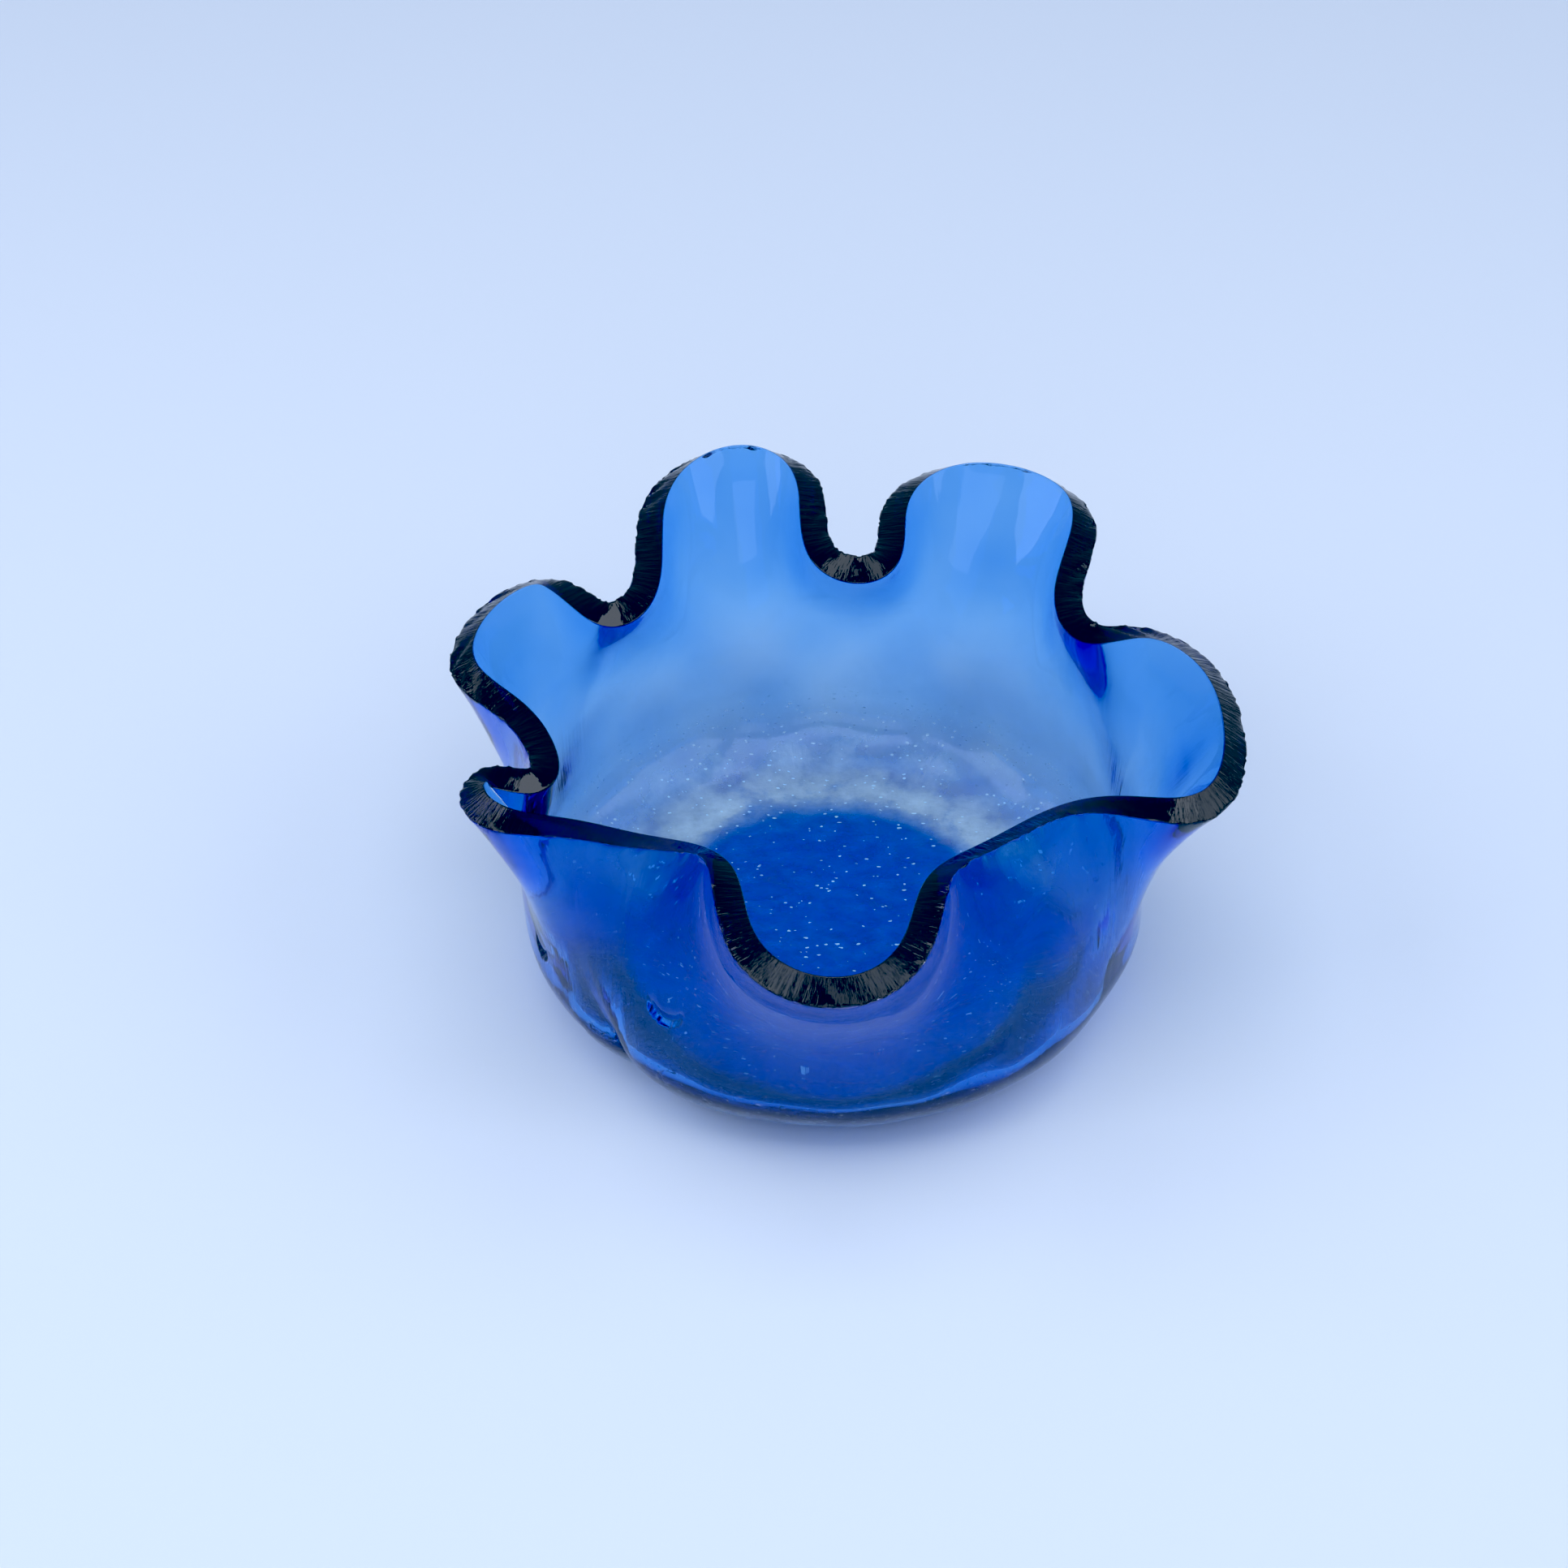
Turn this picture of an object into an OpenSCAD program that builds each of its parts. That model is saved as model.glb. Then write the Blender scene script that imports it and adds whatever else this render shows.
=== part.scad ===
// Art glass bowl: one thick sheet of glass drawn up into a round body and folded into a rim
// of petals. Millimetres, +Z up, the middle of the flat underside at the origin.
// -Y is the front, the side of the single petal that stands alone between two wide folds.

/* [Part] */
// sub-part to draw

/* [Glass] */
// thickness of the sheet in the floor and at the rim
wall = 7; // [6:0.25:7.5]
// thickness low in the wall, where the sheet stretched most
thin_wall = 4.25; // [4:0.25:6]
// height of the rim above the table
rim_height = 82; // [76:1:90]

/* [Body] */
// radius where the underside starts to turn up
base_radius = 52; // [48:1:56]
// outside radius of the body at its fullest
body_radius = 76.5; // [74:0.5:80]
// depth of the body front to back, as a share of its width
body_depth = 0.96; // [0.92:0.01:1]
// height at which the body is fullest
belly_height = 23; // [20:1:28]
// how suddenly the petals turn out near the rim
petal_turn = 1.9; // [1.6:0.1:2.4]
// how suddenly the folds lean in near the rim
fold_turn = 2.6; // [2:0.1:3]

/* [Foot] */
// radius of the flat ground under the body
foot_radius = 50; // [44:1:52]

/* [Pinch] */
// direction of the pinch low in the wall, degrees anticlockwise from the right
pinch_way = 226; // [200:1:250]
// depth of the pinch
pinch_depth = 2; // [0:0.5:4]
// half width of the pinch, degrees
pinch_spread = 6; // [4:1:10]

/* [Hidden] */
stations = 162;    // points round the rim
per_span = 6;      // points drawn on each span of the outline
turn_share = 9;    // how much a turn of one radian counts as length when points are spread
wall_rows = 12;    // rows of points from the belly to the rim
corner_rows = 5;   // rows round the lower corner
floor_rows = 1;    // rows between the corner and the middle of the floor
lift = 0.6;        // the shaped underside stands this much above the ground foot
foot_top = 3;      // the foot reaches this far up into the glass
straight = 0.05;   // share of the wall that climbs straight above the belly

// Outline of the rim seen from above, anticlockwise: each petal from its root over its tip to
// its other root, with the fold that follows it.
right_petal = [[73,-34], [85,-37], [94,-25], [95,-5], [93,12], [83,26], [71,30]];
right_fold = [[61,22]];
back_right_petal = [[54,38], [61,57], [65,76], [53,89], [34,94], [19,87], [12,72], [16,54]];
back_fold = [[7,46]];
back_left_petal = [[-5,52], [-6,69], [-5,87], [-17,99], [-32,98], [-44,86], [-48,69], [-45,49]];
back_left_fold = [[-47,33], [-57,28]];
left_petal = [[-64,41], [-73,47], [-85,36], [-91,21], [-90,8], [-80,1], [-73,-5], [-69,-13]];
left_fold = [[-64,-25], [-71,-30]];
small_petal = [[-80,-23], [-85,-29], [-83,-37], [-74,-43], [-60,-41], [-47,-47], [-36,-48]];
front_left_fold = [[-25,-48]];
front_petal = [[-23,-61], [-22,-77], [-13,-90], [0,-95], [13,-91], [21,-78], [22,-64]];
front_right_fold = [[24,-52], [34,-49], [42,-42], [50,-35], [61,-31]];
outline = concat(right_petal, right_fold, back_right_petal, back_fold, back_left_petal,
                 back_left_fold, left_petal, left_fold, small_petal, front_left_fold,
                 front_petal, front_right_fold);

// ---- spreading points along the rim ----
function wrap(list, i) = list[(i + len(list)) % len(list)];
function sum(list, i = 0, end) = i == end ? list[i] : list[i] + sum(list, i + 1, end);
function average(list, half) =
  [for (k = [0:len(list) - 1])
    sum([for (j = [-half:half]) wrap(list, k + j)], 0, 2 * half) / (2 * half + 1)];
function soften(list) =
  [for (k = [0:len(list) - 1]) (wrap(list, k - 1) + 2 * list[k] + wrap(list, k + 1)) / 4];
function span(a, b, c, d, t) =
  (a * pow(1 - t, 3) + b * (3 * pow(t, 3) - 6 * t * t + 4)
   + c * (-3 * pow(t, 3) + 3 * t * t + 3 * t + 1) + d * pow(t, 3)) / 6;
fine = [for (i = [0:len(outline) - 1]) for (t = [0:per_span - 1])
  span(wrap(outline, i - 1), outline[i], wrap(outline, i + 1), wrap(outline, i + 2),
       t / per_span)];
function turn(i) =
  let (a = wrap(fine, i) - wrap(fine, i - 1), b = wrap(fine, i + 1) - wrap(fine, i))
  abs(asin(cross(a, b) / norm(a) / norm(b))) * PI / 180;
steps = [for (i = [0:len(fine) - 1])
  norm(wrap(fine, i + 1) - fine[i]) + turn_share * turn(i)];
along = [for (i = 0, s = 0; i <= len(fine); s = s + (i < len(fine) ? steps[i] : 0), i = i + 1) s];
rim_x = [for (i = [0:len(fine)]) [along[i], wrap(fine, i).x]];
rim_y = [for (i = [0:len(fine)]) [along[i], wrap(fine, i).y]];
full = along[len(fine)];
rim_path = soften(soften(soften([for (k = [0:stations - 1])
  let (s = full * k / stations) [lookup(s, rim_x), lookup(s, rim_y)]])));

// ---- the round body each rim point grows from ----
round_path = average(average(rim_path, floor(stations / 12)), floor(stations / 24));
ways = [for (p = round_path) atan2(p.y, p.x)];
function bell(a, centre, spread) =
  let (d = (a - centre + 540) % 360 - 180) exp(-pow(d / spread, 2));
function reach(a, r) =
  [r * cos(a), r * sin(a) * body_depth];

// ---- middle surface of the sheet: point k of row j ----
half_wall = wall / 2;
belly = body_radius - half_wall;
function smooth_step(t) = let (c = min(1, max(0, t))) c * c * (3 - 2 * c);
function lean(p) = fold_turn + (petal_turn - fold_turn) * smooth_step((norm(p) - 60) / 30);
function wall_point(k, v) =
  let (p = rim_path[k],
       w = pow(max(0, (v - straight) / (1 - straight)), lean(p)),
       pinch = pinch_depth * bell(ways[k], pinch_way, pinch_spread) * pow(1 - v, 6),
       q = (1 - w) * reach(ways[k], belly - pinch) + w * p)
  [q.x, q.y, belly_height + (rim_height - belly_height) * v];
function corner_point(k, t) =
  let (low = half_wall + lift,
       pinch = pinch_depth * bell(ways[k], pinch_way, pinch_spread),
       q = reach(ways[k], base_radius + (belly - pinch - base_radius) * cos(t)))
  [q.x, q.y, belly_height - (belly_height - low) * sin(t)];
function floor_point(k, share) =
  let (q = reach(ways[k], base_radius * share)) [q.x, q.y, half_wall + lift];
sheet = concat(
  [for (i = [1:floor_rows]) [for (k = [0:stations - 1]) floor_point(k, i / (floor_rows + 1))]],
  [for (i = [0:corner_rows - 1])
    [for (k = [0:stations - 1]) corner_point(k, 90 * (1 - i / corner_rows))]],
  [for (i = [0:wall_rows]) [for (k = [0:stations - 1]) wall_point(k, i / wall_rows)]]);
rows = len(sheet);

// ---- both faces of the sheet: the stretched part is thinner on its inner side ----
function thickness(z) =
  wall - (wall - thin_wall) * smooth_step((z - 6) / 12) * smooth_step((70 - z) / 30);
function unit(v) = v / norm(v);
function facing(j, k) =
  unit(cross(wrap(sheet[j], k + 1) - wrap(sheet[j], k - 1),
             sheet[min(rows - 1, j + 1)][k] - sheet[max(0, j - 1)][k]));
outside = [for (j = [0:rows - 1]) [for (k = [0:stations - 1])
  sheet[j][k] + facing(j, k) * half_wall]];
inside = [for (j = [0:rows - 1]) [for (k = [0:stations - 1])
  sheet[j][k] - facing(j, k) * (thickness(sheet[j][k].z) - half_wall)]];

module glass_sheet() {
  skins = concat(outside, [for (j = [rows - 1:-1:0]) inside[j]]);
  body = [for (ring = skins) for (p = ring) p];
  count = len(skins);
  under = [0, 0, lift];
  above = [0, 0, lift + wall];
  first = count * stations;
  polyhedron(
    points = concat(body, [under, above]),
    faces = concat(
      [for (k = [0:stations - 1]) [first, k, (k + 1) % stations]],
      [for (j = [0:count - 2]) for (k = [0:stations - 1])
        let (a = j * stations + k, b = j * stations + (k + 1) % stations)
        each [[a, a + stations, b], [b, a + stations, b + stations]]],
      [for (k = [0:stations - 1])
        [first + 1, (count - 1) * stations + (k + 1) % stations, (count - 1) * stations + k]]),
    convexity = 8);
}

module bowl() {
  color([0.1, 0.3, 0.85, 0.5]) union() {
    glass_sheet();
    cylinder(h = foot_top, r = foot_radius, $fn = 180);
  }
}

bowl();
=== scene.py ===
import math

import bpy
import numpy as np
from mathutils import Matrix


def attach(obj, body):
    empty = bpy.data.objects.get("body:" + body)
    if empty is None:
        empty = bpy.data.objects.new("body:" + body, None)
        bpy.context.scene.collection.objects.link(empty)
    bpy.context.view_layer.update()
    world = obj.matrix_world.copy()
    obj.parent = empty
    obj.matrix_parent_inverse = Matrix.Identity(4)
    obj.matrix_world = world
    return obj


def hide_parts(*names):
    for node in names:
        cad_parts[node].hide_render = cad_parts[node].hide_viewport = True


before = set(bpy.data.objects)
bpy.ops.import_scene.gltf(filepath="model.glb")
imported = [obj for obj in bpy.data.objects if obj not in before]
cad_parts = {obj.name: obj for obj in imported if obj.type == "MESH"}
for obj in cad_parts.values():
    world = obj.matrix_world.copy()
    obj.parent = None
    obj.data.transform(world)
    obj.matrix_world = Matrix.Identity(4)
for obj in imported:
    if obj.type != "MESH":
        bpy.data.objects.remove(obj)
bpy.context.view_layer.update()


# ---------------------------------------------------------------- the glass bowl
# One blank of cobalt glass, seven millimetres thick, softened over a round form until the
# wall stood up and thinned, then pinched into petals. The rim was cracked off, so it is a
# cut face with chips along its outer edge; the underside kept the grain of the kiln shelf.
mm = 0.001            # sizes below are in millimetres until the mesh is filled
wall = 7.0            # glass in the floor and at the rim
thin_wall = 4.25      # glass low in the wall, where it stretched most
half_wall = wall / 2
rim_height = 82.0     # the middle of the sheet at the rim
base_radius = 52.0    # where the underside starts to turn up
body_radius = 76.5    # outside, at the fullest
body_depth = 0.96     # front to back, as a share of the width
belly_height = 23.0   # where the body is fullest
belly = body_radius - half_wall
petal_turn, fold_turn = 1.9, 2.6   # how suddenly petals turn out and folds lean in
straight = 0.05       # share of the wall that climbs straight above the belly
lift = 0.6            # the shaped underside stands this much above the ground foot
foot_radius = 50.0
pinch_way, pinch_depth, pinch_spread = 226.0, 2.0, 6.0   # degrees, depth, degrees

# the rim seen from above, anticlockwise, a petal at a time with the fold that follows it
right_petal = [[73, -34], [85, -37], [94, -25], [95, -5], [93, 12], [83, 26], [71, 30]]
right_fold = [[61, 22]]
back_right_petal = [[54, 38], [61, 57], [65, 76], [53, 89],
                    [34, 94], [19, 87], [12, 72], [16, 54]]
back_fold = [[7, 46]]
back_left_petal = [[-5, 52], [-6, 69], [-5, 87], [-17, 99],
                   [-32, 98], [-44, 86], [-48, 69], [-45, 49]]
back_left_fold = [[-47, 33], [-57, 28]]
left_petal = [[-64, 41], [-73, 47], [-85, 36], [-91, 21],
              [-90, 8], [-80, 1], [-73, -5], [-69, -13]]
left_fold = [[-64, -25], [-71, -30]]
small_petal = [[-80, -23], [-85, -29], [-83, -37], [-74, -43],
               [-60, -41], [-47, -47], [-36, -48]]
front_left_fold = [[-25, -48]]
front_petal = [[-23, -61], [-22, -77], [-13, -90], [0, -95],
               [13, -91], [21, -78], [22, -64]]
front_right_fold = [[24, -52], [34, -49], [42, -42], [50, -35], [61, -31]]
outline = np.array(
    right_petal + right_fold + back_right_petal + back_fold + back_left_petal + back_left_fold
    + left_petal + left_fold + small_petal + front_left_fold + front_petal + front_right_fold,
    float,
)

stations = 1040       # points round the sheet
coarse = 162          # stations of the solid, which set how far its corners are eased
finer = stations / coarse
per_span = 24         # points on each span of the outline's curve
turn_share = 9        # how much a turn of one radian counts as length when points are spread


def after(ring, steps=1):
    return np.roll(ring, -steps, axis=0)


def soften(ring, times):
    for _ in range(times):
        ring = (after(ring, -1) + 2 * ring + after(ring)) / 4
    return ring


def average(ring, half):
    return sum(after(ring, j) for j in range(-half, half + 1)) / (2 * half + 1)


def smooth_step(low, high, x):
    t = np.clip((x - low) / (high - low), 0, 1)
    return t * t * (3 - 2 * t)


def ripple(points, size, seed, waves=28):
    """Smooth random relief of about one unit, with features of the given size."""
    dice = np.random.default_rng(seed)
    way = dice.normal(size=(waves, 3))
    way /= np.linalg.norm(way, axis=1, keepdims=True)
    way *= 2 * math.pi / (size * dice.uniform(0.7, 1.8, (waves, 1)))
    return np.sin(points @ way.T + dice.uniform(0, 6.28, waves)).sum(-1) * math.sqrt(2 / waves)


# the outline's curve, then points spread along it, closer where it turns
t = (np.arange(per_span) / per_span)[None, :, None]
a, b, c, d = (after(outline, j)[:, None] for j in (-1, 0, 1, 2))
curve = ((1 - t) ** 3 * a + (3 * t**3 - 6 * t**2 + 4) * b
         + (-3 * t**3 + 3 * t**2 + 3 * t + 1) * c + t**3 * d) / 6
curve = curve.reshape(-1, 2)
stretch = after(curve) - curve
heading = np.unwrap(np.arctan2(stretch[:, 1], stretch[:, 0]))
turning = np.abs(np.diff(heading, prepend=heading[-1] - 2 * math.pi))
along = np.concatenate([[0], np.cumsum(np.hypot(*stretch.T) + turn_share * turning)])
spread = np.arange(stations) / stations * along[-1]
closed = np.vstack([curve, curve[:1]])
rim = np.stack([np.interp(spread, along, closed[:, i]) for i in (0, 1)], axis=1)
rim = soften(rim, round(3 * finer**2))
round_path = average(average(rim, round(13 * finer)), round(6 * finer))
ways = np.arctan2(round_path[:, 1], round_path[:, 0])
reach = np.stack([np.cos(ways), np.sin(ways) * body_depth], axis=1)
lean = fold_turn + (petal_turn - fold_turn) * smooth_step(60, 90, np.hypot(*rim.T))


# the pinch pressed into the wall, low at the front left, with a sharp crease in it
pinch_slant = 0.35    # degrees towards the front for each millimetre down
crease_spread = 1.8   # half width of the crease in the pinch, degrees


def pinch(height):
    off = np.degrees(ways) - pinch_way - (belly_height - height) * pinch_slant
    off = (off + 540) % 360 - 180
    return pinch_depth * (np.exp(-((off / pinch_spread) ** 2))
                          + 0.5 * np.exp(-((off / crease_spread) ** 2)))


# the middle of the sheet, ring by ring: floor, lower corner, wall
def floor_ring(share):
    return reach * base_radius * share, half_wall + lift


def corner_ring(turn):
    low = half_wall + lift
    height = belly_height - (belly_height - low) * math.sin(turn)
    r = base_radius + (belly - pinch(height) - base_radius) * math.cos(turn)
    return reach * r[:, None], height


def wall_ring(rise):
    share = max(0.0, (rise - straight) / (1 - straight)) ** lean
    height = belly_height + (rim_height - belly_height) * rise
    foot_of_wall = reach * (belly - pinch(height) * (1 - rise) ** 6)[:, None]
    return (1 - share)[:, None] * foot_of_wall + share[:, None] * rim, height


floor_rows, corner_rows = 11, 17
upright = floor_rows + corner_rows    # the first row of the wall
rings = [floor_ring(s) for s in np.linspace(0.03, 0.95, floor_rows)]
rings += [corner_ring(math.pi / 2 * (1 - s)) for s in np.linspace(0, 1, corner_rows + 1)[:-1]]
rings += [wall_ring(r) for r in np.linspace(0, 0.9, 10)[:-1]]
rings += [wall_ring(r) for r in (0.9, 0.95, 0.975, 0.988, 0.995, 1.0)]
sheet = np.array([np.column_stack([xy, np.full(stations, z)]) for xy, z in rings])
height = sheet[..., 2]

across = np.roll(sheet, -1, axis=1) - np.roll(sheet, 1, axis=1)
up = np.gradient(sheet, axis=0)
facing = np.cross(across, up)
facing /= np.linalg.norm(facing, axis=2, keepdims=True)
up /= np.linalg.norm(up, axis=2, keepdims=True)
thickness = wall - (wall - thin_wall) * smooth_step(6, 18, height) * smooth_step(70, 40, height)

# both skins wander a little, as slumped glass does, but not at the rim
outer_drift, inner_drift = 0.22, 0.28
drift = outer_drift * ripple(sheet, 30, 1) * smooth_step(76, 60, height)
outer = sheet + facing * (half_wall + drift)[..., None]
drift = inner_drift * ripple(sheet, 22, 5) * smooth_step(82, 72, height)
inner = sheet - facing * (thickness - half_wall + drift)[..., None]

# low on the outside: grain from the kiln shelf, higher where the skin tore at the front left
# (185 to 270 degrees round), painted light: a brighter blue haze low on the front of the wall,
# and painted shade: a dark line along the front of the foot where it meets the table
round_about = np.degrees(np.arctan2(outer[..., 1], outer[..., 0])) % 360
torn_side = smooth_step(186, 205, round_about) * smooth_step(272, 252, round_about)
reach_up = 2.5 + 6 * torn_side    # how far up the shelf's grain goes
shelf = smooth_step(-0.4, 0.6, (reach_up - outer[..., 2]) / 5 + 0.5 * ripple(outer, 11, 2))
# painted shade: a dark line along the front of the foot, where it meets the table
painted_contact_shade = (smooth_step(6, 3, outer[..., 2]) * smooth_step(15, -20, outer[..., 1])
        * smooth_step(49, 54, np.hypot(outer[..., 0], outer[..., 1])))
# painted light: a brighter blue haze low on the front of the wall
painted_front_light = (smooth_step(18, 7, outer[..., 2]) * smooth_step(0.4, 1.5, outer[..., 2])
       * smooth_step(20, -10, outer[..., 1]))
torn = (torn_side * smooth_step(2, 5, outer[..., 2])
        * smooth_step(0, 0.5, (13 - outer[..., 2]) / 6 + 0.6 * ripple(outer, 8, 13) - 0.3))
relief = 0.16 * ripple(outer, 5, 3) + 0.09 * ripple(outer, 2.4, 4)
outer += facing * ((relief - 0.3) * shelf)[..., None]

# the ground foot is flat, with shallow hollows left by the shelf
flat = smooth_step(foot_radius + 3, foot_radius - 4, np.hypot(outer[..., 0], outer[..., 1]))
flat *= outer[..., 2] < 4
hollows = 0.16 + 0.1 * np.clip(ripple(outer, 9, 6), -1.6, 2)
outer[..., 2] += (hollows - outer[..., 2]) * flat
outer[..., 2] = np.maximum(outer[..., 2], 0)

# the cut face between the two skins, chipped from its outer edge
edge = outer[-1] - after(outer[-1], -1)
run = np.cumsum(np.linalg.norm(edge, axis=1))
rim_length = run[-1]
dice = np.random.default_rng(11)
chip = np.zeros(stations)
# how many, least and greatest half width, depth
large_chips, small_chips = (40, 1.2, 3.2, 0.75), (320, 0.5, 1.0, 0.45)
for count, least, most, deep in (large_chips, small_chips):
    for place, width, share in zip(dice.uniform(0, rim_length, count),
                                   dice.uniform(least, most, count),
                                   dice.uniform(0.3, 1, count)):
        off = (run - place + rim_length / 2) % rim_length - rim_length / 2
        chip = np.maximum(chip, deep * share * np.sqrt(np.clip(1 - (off / width) ** 2, 0, 1)))

# hackle: grooves that lean as they run in from the outer edge, stronger here and there
turn = run / rim_length * 2 * math.pi
circle = rim_length / 2 / math.pi
hackled = smooth_step(-0.2, 1.2, ripple(
    np.stack([np.cos(turn), np.sin(turn), 0 * turn], axis=1) * circle, 70, 8))
cut = []
for share in (0.035, 0.1, 0.2, 0.34, 0.5, 0.66, 0.82, 0.94, 0.975):
    lean_over = (run + 2.5 * share * wall / 2) / rim_length * 2 * math.pi
    place = np.stack([np.cos(lean_over) * circle, np.sin(lean_over) * circle,
                      np.full(stations, 0.25 * share * wall)], axis=1)
    groove = np.clip(0.3 + 0.6 * ripple(place, 3.0, 9), 0, 1.5) ** 2
    slow = 0.5 + 0.5 * np.clip(ripple(place, 16, 10), -1, 1)
    sink = (0.38 * groove * (0.3 + hackled) * (1 - share) ** 1.1
            + chip * math.exp(-share * wall / 0.9) + 0.1 * slow * math.sin(math.pi * share))
    cut.append(outer[-1] + (inner[-1] - outer[-1]) * share - up[-1] * sink[:, None])
cut = np.array(cut)

# the chips bite into the top of the outer skin too
for row, share in ((-1, 1.0), (-2, 0.75), (-3, 0.4), (-4, 0.1)):
    outer[row] -= facing[row] * (chip * share)[:, None]
outer[-1] -= up[-1] * (0.75 * chip + 0.08)[:, None]
inner[-1] -= up[-1] * 0.08

# the inside is smoother than the outside, so it keeps every other row low down
keep = (list(range(0, floor_rows, 2)) + list(range(floor_rows + 1, upright, 2))
        + list(range(upright, len(sheet))))
inner = inner[keep]
skin = np.concatenate([outer, cut, inner[::-1]])
rows = len(skin)

# haze on the inside: frosting up the back wall, which is also painted light that lightens the
# foot of the back wall; settled scale in the floor
inner_reach = np.hypot(inner[..., 0], inner[..., 1] / body_depth)
frost_and_painted_light = (smooth_step(38, 52, inner_reach)
           * (0.4 * smooth_step(52, 14, inner[..., 2]) + 0.6 * smooth_step(17, 9, inner[..., 2]))
           # mostly at the back: painted light as well as frost
           * (0.06 + 0.94 * smooth_step(5, 30, inner[..., 1]))
           * np.clip(0.85 + 0.15 * ripple(inner, 14, 12), 0, 1))
settled = smooth_step(62, 50, inner_reach) * (inner[..., 2] < 14)


def over_skin(outside=0, on_cut=0, inside=0):
    """A mask for the whole skin, from its values on the outside, the cut face and the inside."""
    parts = ((outside, len(outer)), (on_cut, len(cut)), (inside, len(inner)))
    return np.concatenate([np.broadcast_to(values, (count, stations)) for values, count in parts])


masks = {
    "cut": over_skin(on_cut=1),
    "shelf": over_skin(outside=np.maximum(shelf, flat)),
    # frosting, partly painted light on the back wall
    "frost_and_light": over_skin(inside=frost_and_painted_light[::-1]),
    "torn": over_skin(outside=torn),
    "seedy": over_skin(inside=settled[::-1]),
    # painted shade: the dark line along the front of the foot
    "contact_shade": over_skin(outside=painted_contact_shade),
    # painted light: the brighter blue haze low on the front of the wall
    "deep": over_skin(outside=painted_front_light),
}

# a grid rolled into the skin: columns go round, rows go from under the floor over the rim
bpy.ops.object.select_all(action="DESELECT")
bpy.ops.mesh.primitive_grid_add(x_subdivisions=stations, y_subdivisions=rows - 1, size=1)
bowl = bpy.context.active_object
bowl.name = bowl.data.name = "cobalt_glass_bowl"
mesh = bowl.data
spots = np.empty(len(mesh.vertices) * 3)
mesh.vertices.foreach_get("co", spots)
spots = spots.reshape(-1, 3)
column = np.rint((spots[:, 0] + 0.5) * stations).astype(int)
row = np.rint((spots[:, 1] + 0.5) * (rows - 1)).astype(int)
mesh.vertices.foreach_set("co", (skin[row, column % stations] * mm).ravel())
for name, values in masks.items():
    mesh.attributes.new(name, "FLOAT", "POINT").data.foreach_set(
        "value", values[row, column % stations].astype(np.float32))

# unwrapped to scale: metres round the rim, metres up the sheet
profile = np.linalg.norm(np.diff(skin, axis=0), axis=2).mean(axis=1)
climb = np.concatenate([[0], np.cumsum(profile)])
round_run = np.concatenate([[0], run])
corners = np.empty(len(mesh.loops), int)
mesh.loops.foreach_get("vertex_index", corners)
flat_map = np.stack([round_run[column], climb[row]], axis=1)[corners] * mm
mesh.uv_layers[0].uv.foreach_set("vector", flat_map.astype(np.float32).ravel())
mesh.update()

# the seam is merged and the two small holes in the middle of the floor are closed
bpy.ops.object.mode_set(mode="EDIT")
bpy.ops.mesh.select_all(action="SELECT")
bpy.ops.mesh.remove_doubles(threshold=1e-7)
bpy.ops.mesh.select_all(action="DESELECT")
bpy.ops.mesh.select_mode(type="EDGE")
bpy.ops.mesh.select_non_manifold()
bpy.ops.mesh.edge_face_add()
bpy.ops.mesh.select_all(action="SELECT")
bpy.ops.mesh.normals_make_consistent(inside=False)

# three scars in the front wall: two fingernail dents and the ring of a burst bubble
scars = np.array([[-38.5, -64, 38.5], [-69.5, -31, 29], [-46.5, -53.5, 69]])
spans = np.array([8.5, 6.5, 3.0])
nail_depth, ring_depth, ring_radius, ring_width = 1.3, 0.3, 1.0, 0.35
reach_in = 2.2        # the scars go this far in, and leave the inner skin of the wall alone


def positions():
    spots = np.empty(len(mesh.vertices) * 3)
    mesh.vertices.foreach_get("co", spots)
    return spots.reshape(-1, 3) / mm


bpy.ops.object.mode_set(mode="OBJECT")
spots = positions()
scars = np.array([spots[np.argmin(np.linalg.norm(spots - scar, axis=1))] for scar in scars])
middles = np.empty(len(mesh.polygons) * 3)
mesh.polygons.foreach_get("center", middles)
gap = np.linalg.norm(middles.reshape(-1, 1, 3) / mm - scars, axis=2)
for kind in (mesh.vertices, mesh.edges):
    kind.foreach_set("select", np.zeros(len(kind), bool))
mesh.polygons.foreach_set("select", (gap < spans).any(axis=1))
bpy.ops.object.mode_set(mode="EDIT")
bpy.ops.mesh.select_mode(type="FACE")
bpy.ops.mesh.subdivide(number_cuts=6)
bpy.ops.object.mode_set(mode="OBJECT")
spots = positions()
for scar, span, kind in zip(scars, spans, ("nail", "nail", "bubble")):
    out_way = scar * [1, 1, 0] / np.linalg.norm(scar[:2])
    side_way = np.array([-out_way[1], out_way[0], 0])
    aside, rise, out = (spots - scar) @ side_way, spots[:, 2] - scar[2], (spots - scar) @ out_way
    if kind == "nail":
        lip = -0.22 * span + 1.1 * aside**2 / span
        depth = (smooth_step(-0.5, 0, rise - lip) * smooth_step(0.55 * span, 0, rise - lip)
                 * smooth_step(0.62 * span, 0.4 * span, np.abs(aside)) * nail_depth)
    else:
        ring = (np.hypot(aside, rise) - ring_radius) / ring_width
        depth = ring_depth * np.exp(-(ring**2))
    spots -= out_way * (depth * (out > -reach_in))[:, None]
mesh.vertices.foreach_set("co", (spots * mm).ravel())
mesh.update()
bpy.ops.object.shade_smooth()

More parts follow.
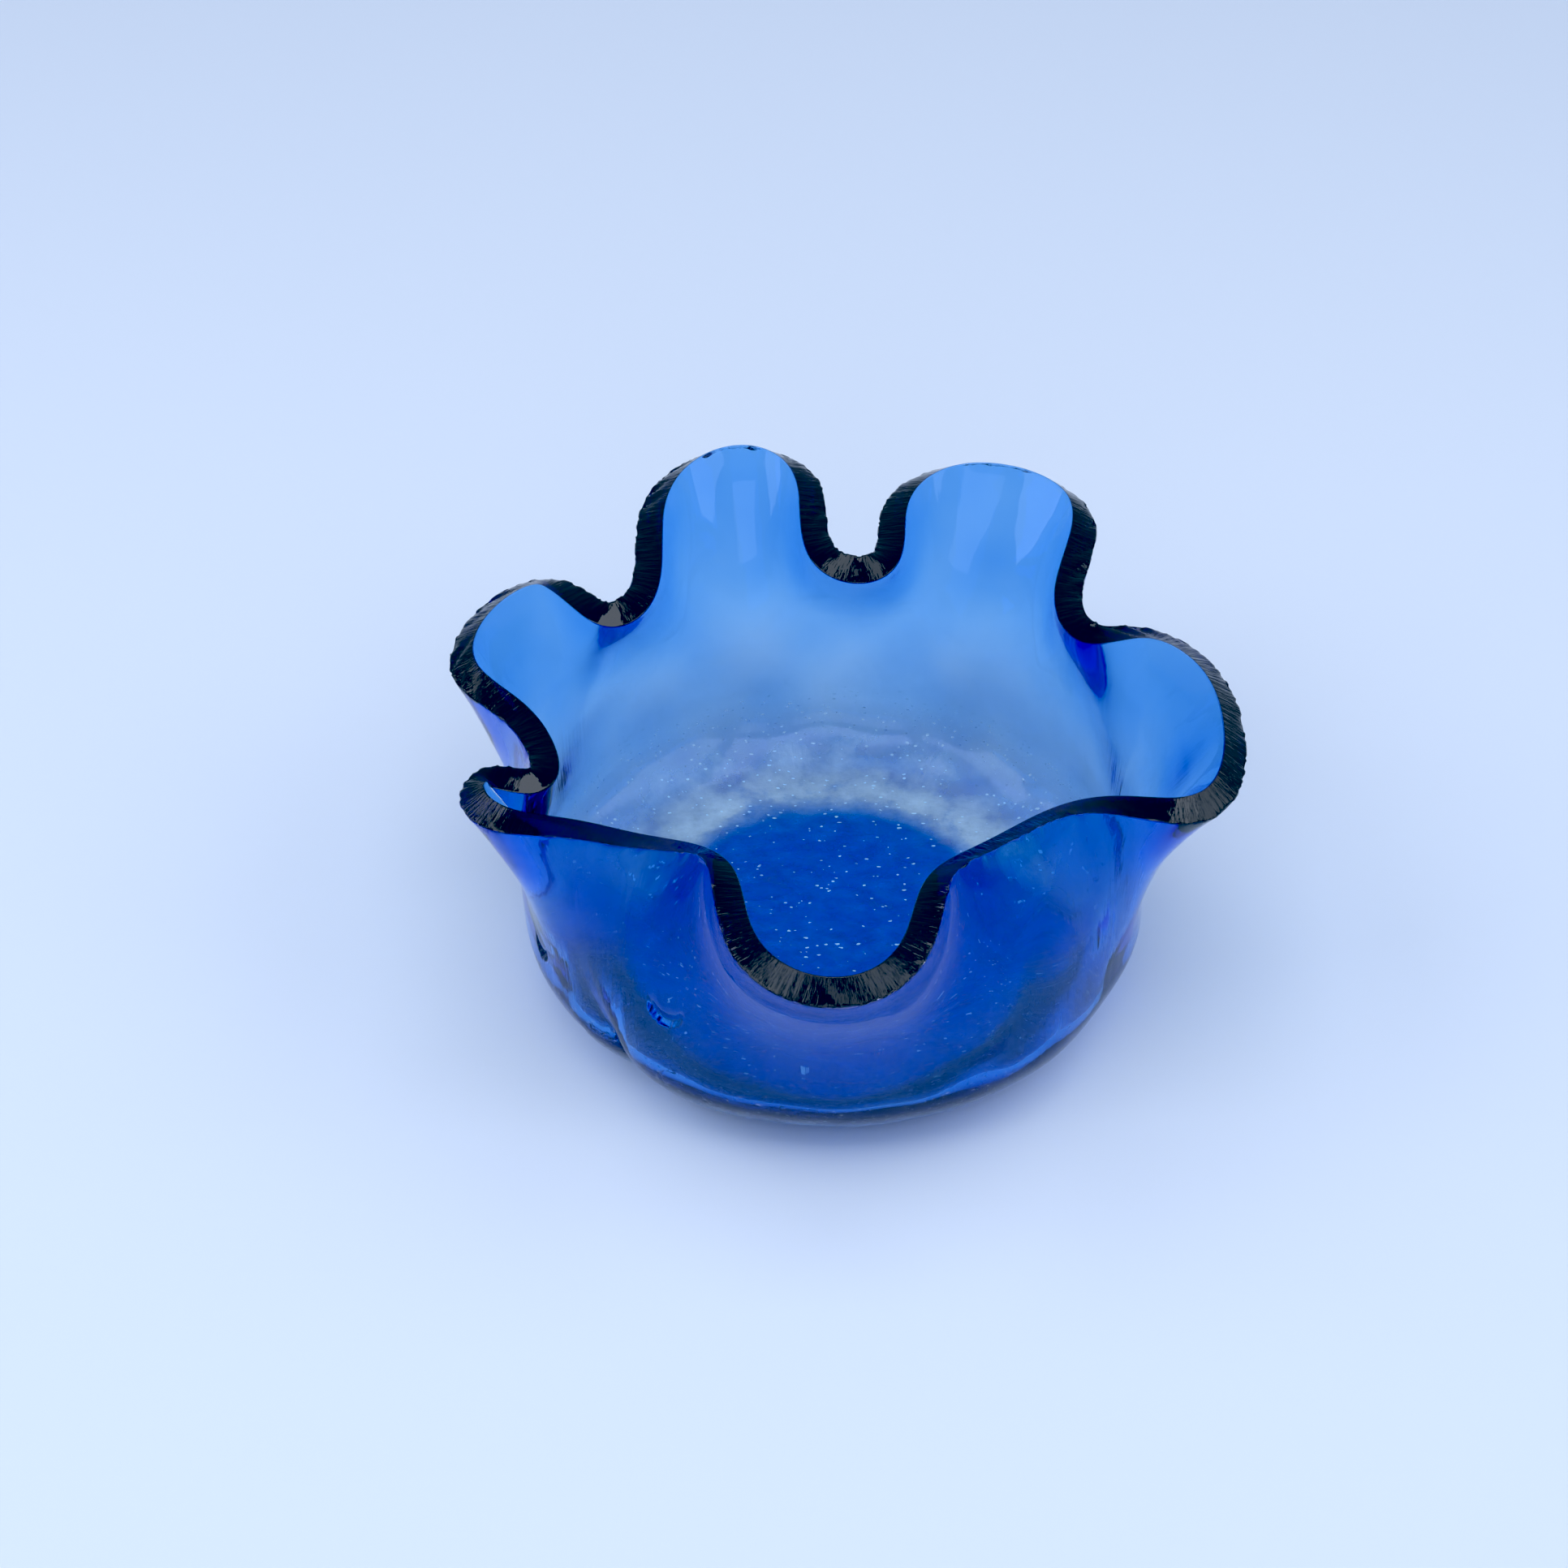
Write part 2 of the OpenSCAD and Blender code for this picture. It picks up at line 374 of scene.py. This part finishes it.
# clear glass that takes its colour from the depth of glass the light goes through
glass = bpy.data.materials.new("cobalt_glass")
glass.use_nodes = True
nodes, links = glass.node_tree.nodes, glass.node_tree.links
shader = nodes["Principled BSDF"]
shader.inputs["Transmission Weight"].default_value = 1.0
shader.inputs["IOR"].default_value = 1.5
absorb = nodes.new("ShaderNodeVolumeAbsorption")
absorb.inputs["Color"].default_value = (0.03, 0.55, 0.935, 1)
absorb.inputs["Density"].default_value = 260
links.new(absorb.outputs["Volume"], nodes["Material Output"].inputs["Volume"])


def maths(operation, first, second=None, third=None):
    node = nodes.new("ShaderNodeMath")
    node.operation = operation
    for socket, value in zip(node.inputs, (first, second, third)):
        if isinstance(value, (int, float)):
            socket.default_value = value
        elif value is not None:
            links.new(value, socket)
    return node.outputs[0]


def times(value, *others):
    for other in others:
        value = maths("MULTIPLY", value, other)
    return value


def plus(value, *others):
    for other in others:
        value = maths("ADD", value, other)
    return value


def noise(vector, scale, detail=3.0, rough=0.55):
    node = nodes.new("ShaderNodeTexNoise")
    node.inputs["Scale"].default_value = scale
    node.inputs["Detail"].default_value = detail
    node.inputs["Roughness"].default_value = rough
    links.new(vector, node.inputs["Vector"])
    return node.outputs["Fac"]


def stretched(vector, scales):
    node = nodes.new("ShaderNodeMapping")
    node.inputs["Scale"].default_value = scales
    links.new(vector, node.inputs["Vector"])
    return node.outputs["Vector"]


def between(value, low, high):
    node = nodes.new("ShaderNodeMapRange")
    node.inputs["From Min"].default_value = low
    node.inputs["From Max"].default_value = high
    links.new(value, node.inputs["Value"])
    return node.outputs["Result"]


def cells(vector, scale):
    node = nodes.new("ShaderNodeTexVoronoi")
    node.inputs["Scale"].default_value = scale
    links.new(vector, node.inputs["Vector"])
    return node


def painted(name):
    node = nodes.new("ShaderNodeAttribute")
    node.attribute_name = name
    return node.outputs["Fac"]


def blend(amount, under, over):
    """Two colours mixed; each is three numbers or another node's colour."""
    node = nodes.new("ShaderNodeMix")
    node.data_type = "RGBA"
    links.new(amount, node.inputs["Factor"])
    for side, colour in (("A", under), ("B", over)):
        if isinstance(colour, tuple):
            node.inputs[side].default_value = (*colour, 1)
        else:
            links.new(colour, node.inputs[side])
    return node.outputs["Result"]


solid = nodes.new("ShaderNodeTexCoord").outputs["Object"]
unwrapped = nodes.new("ShaderNodeUVMap").outputs["UV"]
cut_mask, shelf_mask, frost_and_light_mask, torn_mask, seedy_mask, contact_shade_mask, front_light_mask = (
    painted(name) for name in masks)

# seeds and specks of scale, in crowds, fading out three centimetres above the table
place_of = nodes.new("ShaderNodeSeparateXYZ")
links.new(solid, place_of.inputs["Vector"])
low = between(place_of.outputs["Z"], 28 * mm, 4 * mm)
specks = cells(stretched(solid, (0.5, 1, 1)), 880)
speck_size = times(between(noise(solid, 900, 1.0), 0.3, 0.8), 0.4)
speck = maths("LESS_THAN", specks.outputs["Distance"], speck_size)
chosen = maths("GREATER_THAN", between(specks.outputs["Color"], 0, 1), 0.5)
crowd = maths("GREATER_THAN", plus(noise(solid, 240, 2.0), times(frost_and_light_mask, 0.03)), 0.44)
scale_spots = times(speck, chosen, low, crowd)

# what scatters light: frosting, cloud in the floor, torn flakes, a haze low on the front of the
# wall, scale; the front haze is painted light, and the frosting is partly painted light
milky_frost_and_light = times(frost_and_light_mask, between(noise(solid, 110, 5.0, 0.65), 0.0, 0.8))
curdled = between(noise(stretched(solid, (0.6, 1, 1)), 230, 5.0, 0.7), 0.05, 0.75)
cloud = times(seedy_mask, curdled)
# painted light: the brighter blue haze low on the front of the wall
front_light_haze = times(front_light_mask, between(noise(solid, 140, 5.0, 0.7), 0.15, 0.85))
flake = times(torn_mask, between(noise(solid, 190, 4.0, 0.7), 0.5, 0.58))
haze = plus(times(milky_frost_and_light, 0.62), times(cloud, 0.36), times(flake, 0.45),
            times(front_light_haze, 0.75), times(scale_spots, 0.6))
links.new(maths("SUBTRACT", 1.0, maths("MINIMUM", haze, 0.9)),
          shader.inputs["Transmission Weight"])

# the melt is not quite even in colour, and each kind of haze has its own; the frost and the haze
# low on the front of the wall carry painted light, the dark line at the foot is painted shade,
# and the cut is painted near black, shade for the dark room it mirrors
uneven = between(noise(stretched(solid, (1, 1, 0.5)), 45, 4.0), 0.4, 0.75)
body_colour = blend(uneven, (1.0, 1.0, 1.0), (0.84, 0.91, 0.98))
for amount, colour in ((times(cloud, 2.0), (0.0, 0.3, 1.0)),
                       # partly painted light: the light blue frost band on the back wall
                       (times(milky_frost_and_light, 2.2), (0.62, 0.85, 1.0)),
                       # painted light: the brighter blue haze low on the front of the wall
                       (times(front_light_mask, 0.9), (0.06, 0.36, 1.0)),
                       (flake, (0.3, 0.62, 1.0)),
                       # painted shade: the dark line along the front of the foot
                       (times(contact_shade_mask, 0.85), (0.01, 0.03, 0.12)),
                       (scale_spots, (0.5, 0.8, 1.0))):
    body_colour = blend(maths("MINIMUM", amount, 1.0), body_colour, colour)
# painted shade: the cut face near black, standing in for the dark room it mirrors
links.new(blend(cut_mask, body_colour, (0.0, 0.002, 0.03)), shader.inputs["Base Color"])
blue_sheen, grey_sheen = (0.42, 0.55, 0.85), (0.88, 0.86, 0.96)
links.new(blend(cut_mask, blue_sheen, grey_sheen), shader.inputs["Specular Tint"])

# polished skins with a few smudges, a slightly torn cut face, a matt underside, and a matt band
# along the painted dark line at the foot
smudge = times(between(noise(solid, 60, 4.0), 0.5, 0.8), 0.03)
matt = times(shelf_mask, between(noise(solid, 300, 4.0), 0.25, 0.8), 0.16)
links.new(plus(smudge, matt, times(frost_and_light_mask, 0.06), times(cut_mask, 0.03),
               times(contact_shade_mask, 0.25)), shader.inputs["Roughness"])

# relief: shelf grain, hackle across the cut, lines drawn up the wall, frosting, ripples in the
# floor, cracks between torn flakes, and pits
grain = times(noise(solid, 520, 5.0, 0.65), 0.35 * mm, shelf_mask)
hackle = times(noise(stretched(unwrapped, (1, 0.16, 1)), 700, 3.0), 0.35 * mm, cut_mask)
patches = between(noise(solid, 28, 2.0), 0.45, 0.65)
lines = times(noise(stretched(unwrapped, (1, 0.1, 1)), 210, 3.0),
              maths("MULTIPLY_ADD", patches, 0.09 * mm, 0.02 * mm))
frosting = times(noise(solid, 260, 5.0, 0.65), 0.12 * mm, frost_and_light_mask)
ripples = times(noise(stretched(solid, (0.6, 1, 1)), 330, 5.0, 0.65), 0.3 * mm, seedy_mask)
wander = nodes.new("ShaderNodeTexNoise")
wander.inputs["Scale"].default_value = 260
wander.inputs["Detail"].default_value = 4
links.new(solid, wander.inputs["Vector"])
bent = nodes.new("ShaderNodeVectorMath")
bent.operation = "MULTIPLY_ADD"
links.new(wander.outputs["Color"], bent.inputs[0])
bent.inputs[1].default_value = (9 * mm, 9 * mm, 9 * mm)
links.new(solid, bent.inputs[2])
plates = cells(bent.outputs["Vector"], 170)
plates.feature = "DISTANCE_TO_EDGE"
crack = times(between(plates.outputs["Distance"], 0.1, 0.0), torn_mask)
pit = times(between(cells(solid, 160).outputs["Distance"], 0.2, 0.05), low,
            between(noise(solid, 110, 2.0), 0.6, 0.66))
bump = nodes.new("ShaderNodeBump")
bump.inputs["Distance"].default_value = 1.0
bump.inputs["Strength"].default_value = 1.0
links.new(plus(grain, hackle, lines, frosting, ripples, times(crack, -0.9 * mm),
               times(pit, -0.3 * mm)), bump.inputs["Height"])
links.new(bump.outputs["Normal"], shader.inputs["Normal"])

mesh.materials.clear()
mesh.materials.append(glass)

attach(bowl, "root")
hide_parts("bowl")


# ---------------------------------------------------------------- the table
# A seamless sheet of pale blue-white paper under and behind the bowl, matt all over. It lies
# a twentieth of a millimetre below the ground foot, so that the two faces never coincide.
bpy.ops.object.select_all(action="DESELECT")
bpy.ops.mesh.primitive_plane_add(size=6, location=(0, 0, -0.00005))
table = bpy.context.active_object
table.name = "pale_table"
paper = bpy.data.materials.new("pale_paper")
paper.use_nodes = True
surface = paper.node_tree.nodes["Principled BSDF"].inputs
surface["Base Color"].default_value = (0.63, 0.71, 0.88, 1)
surface["Roughness"].default_value = 0.9
surface["Specular IOR Level"].default_value = 0.1
table.data.materials.append(paper)


# ---------------------------------------------------------------- light
# A dim room and four wide soft boxes turned to the bowl: one each side, whose reflections are
# the grey patches on the cut rim, one above and a weak one in front that lifts the shadow.
world = bpy.data.worlds.new("dim_room")
bpy.context.scene.world = world
world.use_nodes = True
world.node_tree.nodes["Background"].inputs["Color"].default_value = (0.7, 0.8, 1.0, 1)
world.node_tree.nodes["Background"].inputs["Strength"].default_value = 0.42

soft_boxes = (("soft_box_left", (-0.92, -0.12, 0.85), 0.9, 5.7),
              ("soft_box_right", (0.92, -0.12, 0.85), 0.9, 4.6),
              ("soft_box_above", (0.0, -0.15, 1.4), 0.9, 7.6),
              ("soft_box_front", (0.0, -1.0, 0.75), 0.8, 2.6))
for name, place, size, power in soft_boxes:
    bpy.ops.object.light_add(type="AREA", location=place)
    box = bpy.context.active_object
    box.name = name
    box.data.shape = "RECTANGLE"
    box.data.size, box.data.size_y = size, size
    box.data.energy = power
    box.data.color = (0.97, 1.0, 0.99)
    tilt = math.atan2(math.hypot(place[0], place[1]), place[2])
    box.rotation_euler = (tilt, 0, math.atan2(-place[1], -place[0]) - math.pi / 2)


# ---------------------------------------------------------------- camera
# Looking down at the bowl from the front, the mouth open to the lens. The view's blacks are
# set a little low, as a camera sets them, so that thick glass stays pure blue.
camera_data = bpy.data.cameras.new("camera")
camera = bpy.data.objects.new("camera", camera_data)
bpy.context.scene.collection.objects.link(camera)
camera.location = (0, -0.6207, 0.6518)
camera.rotation_euler = (math.radians(90 - 43.836), 0, math.radians(1.077))
camera_data.lens = 81.82
camera_data.sensor_width = 36
camera_data.clip_start = 0.01
bpy.context.scene.camera = camera
view = bpy.context.scene.view_settings
view.view_transform = "Standard"
view.use_curve_mapping = True
view.curve_mapping.black_level = (0.028, 0.014, 0.003)
view.curve_mapping.update()
bpy.context.scene.cycles.max_bounces = 12
bpy.context.scene.cycles.transmission_bounces = 12
bpy.context.scene.cycles.glossy_bounces = 6
